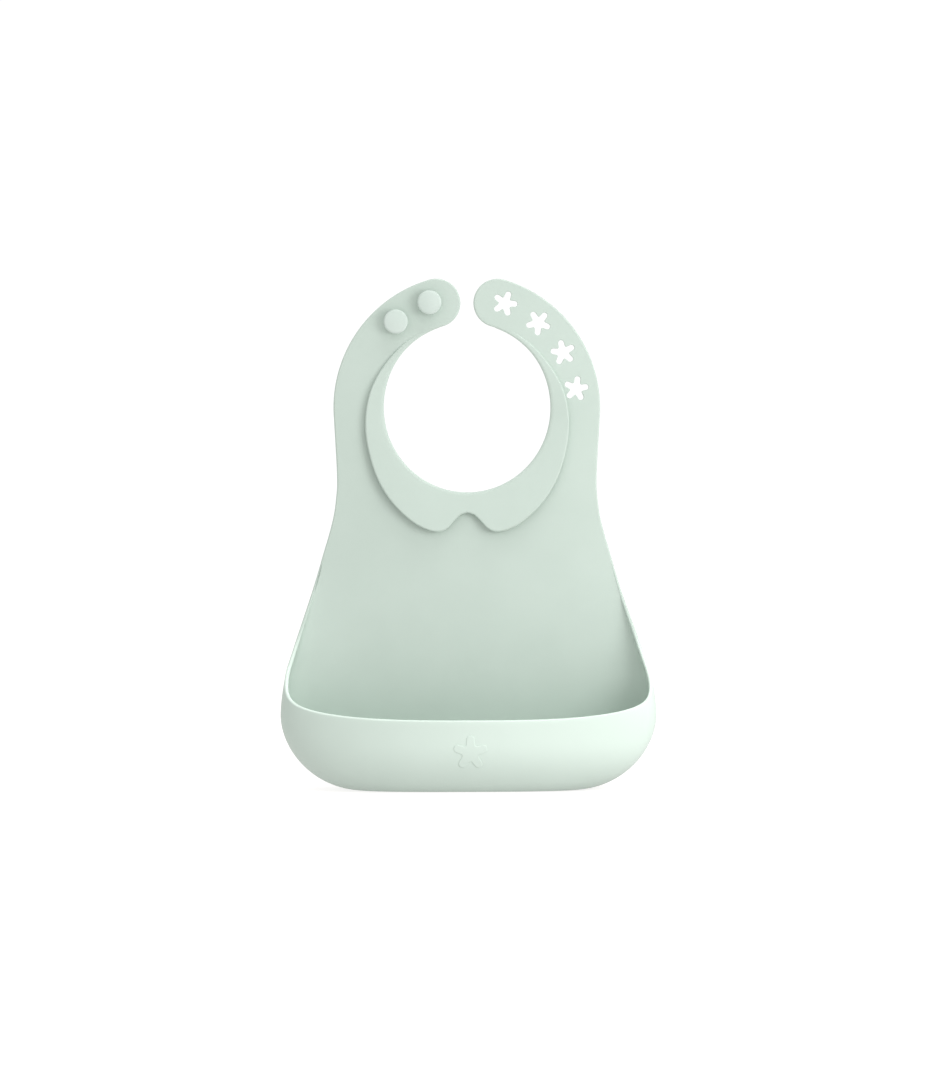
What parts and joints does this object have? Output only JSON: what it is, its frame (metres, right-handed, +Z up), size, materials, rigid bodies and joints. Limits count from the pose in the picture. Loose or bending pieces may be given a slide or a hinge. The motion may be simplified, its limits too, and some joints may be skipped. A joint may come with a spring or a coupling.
{
  "type": "silicone bib",
  "caption": "Soft baby bib with a springy catch pocket, a lobed collar, and neck straps that wrap back and snap together with studs in star-shaped holes.",
  "frame": {"origin": "centre of the flat base of the catch pocket", "axes": "+Z up the sheet towards the neck, the bib faces -Y, +X to the viewer's right"},
  "size_m": [0.23, 0.0605, 0.3156],
  "materials": {
    "mint_silicone": "matte, smooth moulded silicone",
    "frosted_silicone": "matte, fine frosted texture"
  },
  "bodies": {
    "pocket": {"catch_pocket": "mint_silicone"},
    "apron": {"apron_panel": "mint_silicone", "collar_band": "mint_silicone"},
    "collar_lobes": {"collar_flap": "mint_silicone"},
    "button_strap": {"button_strap_root": "mint_silicone", "button_strap_collar": "mint_silicone"},
    "button_tip": {"button_strap_tip": "mint_silicone", "snap_stud_lower": "frosted_silicone", "snap_stud_upper": "frosted_silicone"},
    "hole_strap": {"hole_strap_root": "mint_silicone", "hole_strap_collar": "mint_silicone"},
    "hole_tip": {"hole_strap_tip": "mint_silicone"}
  },
  "joints": [
    {"name": "apron_fold", "type": "hinge", "parent": "pocket", "child": "apron", "pos_m": [0, 0.027, 0.14], "axis": [1, 0, 0], "range_deg": [-60, 130], "stiffness_Nm_per_rad": 0.3},
    {"name": "collar_lift", "type": "hinge", "parent": "apron", "child": "collar_lobes", "pos_m": [0, 0.0235, 0.18], "axis": [-1, 0, 0], "range_deg": [0, 65], "stiffness_Nm_per_rad": 0.02},
    {"name": "button_strap_wrap", "type": "hinge", "parent": "apron", "child": "button_strap", "pos_m": [-0.0601, 0.0274, 0.2003], "axis": [-0.866, 0, -0.5], "range_deg": [-15, 77], "stiffness_Nm_per_rad": 0.06},
    {"name": "button_tip_bend", "type": "hinge", "parent": "button_strap", "child": "button_tip", "pos_m": [-0.06573, 0.028, 0.25733], "axis": [-0.9397, 0, 0.342], "range_deg": [-7.76, 39.63], "stiffness_Nm_per_rad": 0.06},
    {"name": "hole_strap_wrap", "type": "hinge", "parent": "apron", "child": "hole_strap", "pos_m": [0.0601, 0.0286, 0.2003], "axis": [-0.866, 0, 0.5], "range_deg": [-15, 77], "stiffness_Nm_per_rad": 0.06},
    {"name": "hole_tip_bend", "type": "hinge", "parent": "hole_strap", "child": "hole_tip", "pos_m": [0.0647, 0.028, 0.26015], "axis": [-0.9397, 0, -0.342], "range_deg": [-7.76, 39.63], "stiffness_Nm_per_rad": 0.06}
  ],
  "couplings": [
    {"joint": "button_tip_bend", "follows": "button_strap_wrap", "ratio": 0.514},
    {"joint": "hole_tip_bend", "follows": "hole_strap_wrap", "ratio": 0.514}
  ]
}
